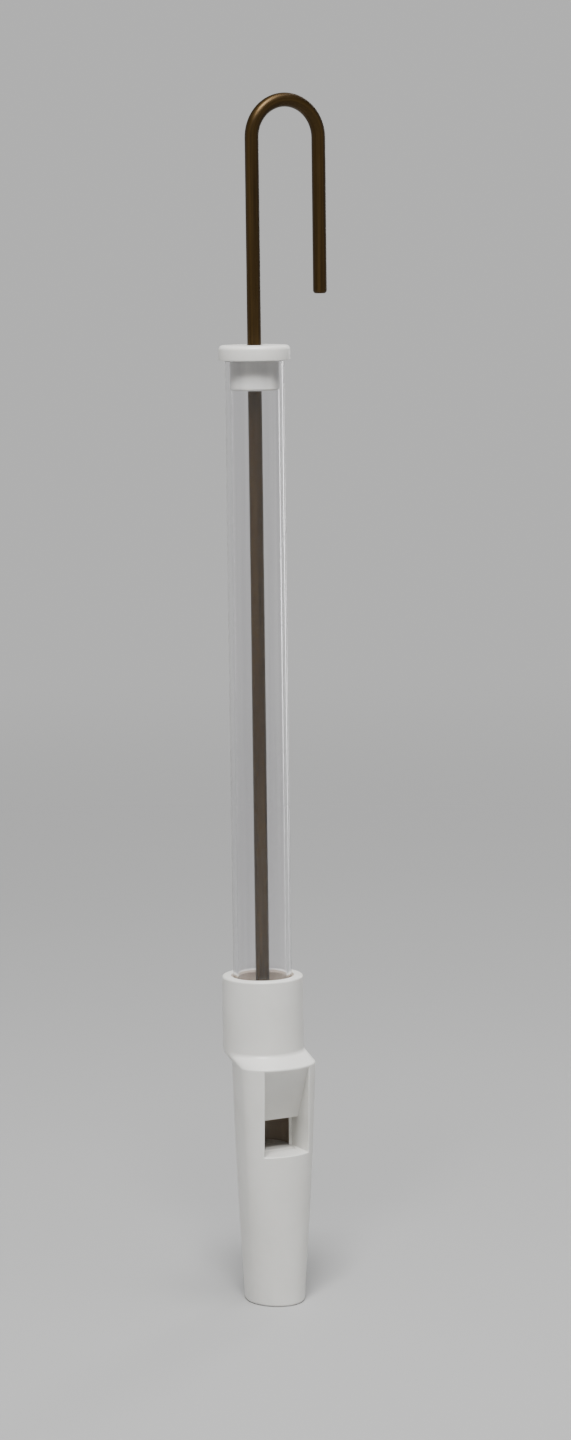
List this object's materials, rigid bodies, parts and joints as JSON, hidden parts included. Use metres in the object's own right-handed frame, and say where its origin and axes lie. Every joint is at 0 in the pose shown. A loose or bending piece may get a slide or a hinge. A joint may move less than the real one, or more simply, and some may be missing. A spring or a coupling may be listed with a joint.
{
  "type": "slide whistle",
  "caption": "Slide whistle with a tapered white mouthpiece, a clear tube and a wire plunger whose bent handle is pulled and pushed to change the pitch.",
  "frame": {"origin": "on the tube's axis, in the flat plane of the mouth end", "axes": "+Z runs along the tube from the mouth end to the handle, -Y is the side of the window, and the handle is bent towards +X"},
  "size_m": [0.0247, 0.0198, 0.2449],
  "materials": {
    "white_plastic": "satin moulded white",
    "clear_plastic": "clear extruded tube",
    "dark_wire": "dark brown drawn wire",
    "plain_steel": "plain stamped steel",
    "felt": "pressed felt"
  },
  "bodies": {
    "barrel": {"mouthpiece_shell": "white_plastic", "fipple_block": "white_plastic", "barrel_tube": "clear_plastic", "end_cap": "white_plastic"},
    "seal": {"piston_seal": "felt"},
    "plunger": {"slide_rod": "dark_wire", "piston_rear_washer": "plain_steel", "piston_front_washer": "plain_steel", "push_nut": "plain_steel"}
  },
  "joints": [
    {"name": "plunger_slide", "type": "slide", "parent": "barrel", "child": "seal", "axis": [0, 0, 1], "range_m": [0, 0.123]},
    {"name": "plunger_spin", "type": "hinge", "parent": "seal", "child": "plunger", "pos_m": [0, 0, 0.056], "axis": [0, 0, 1], "continuous": true}
  ]
}
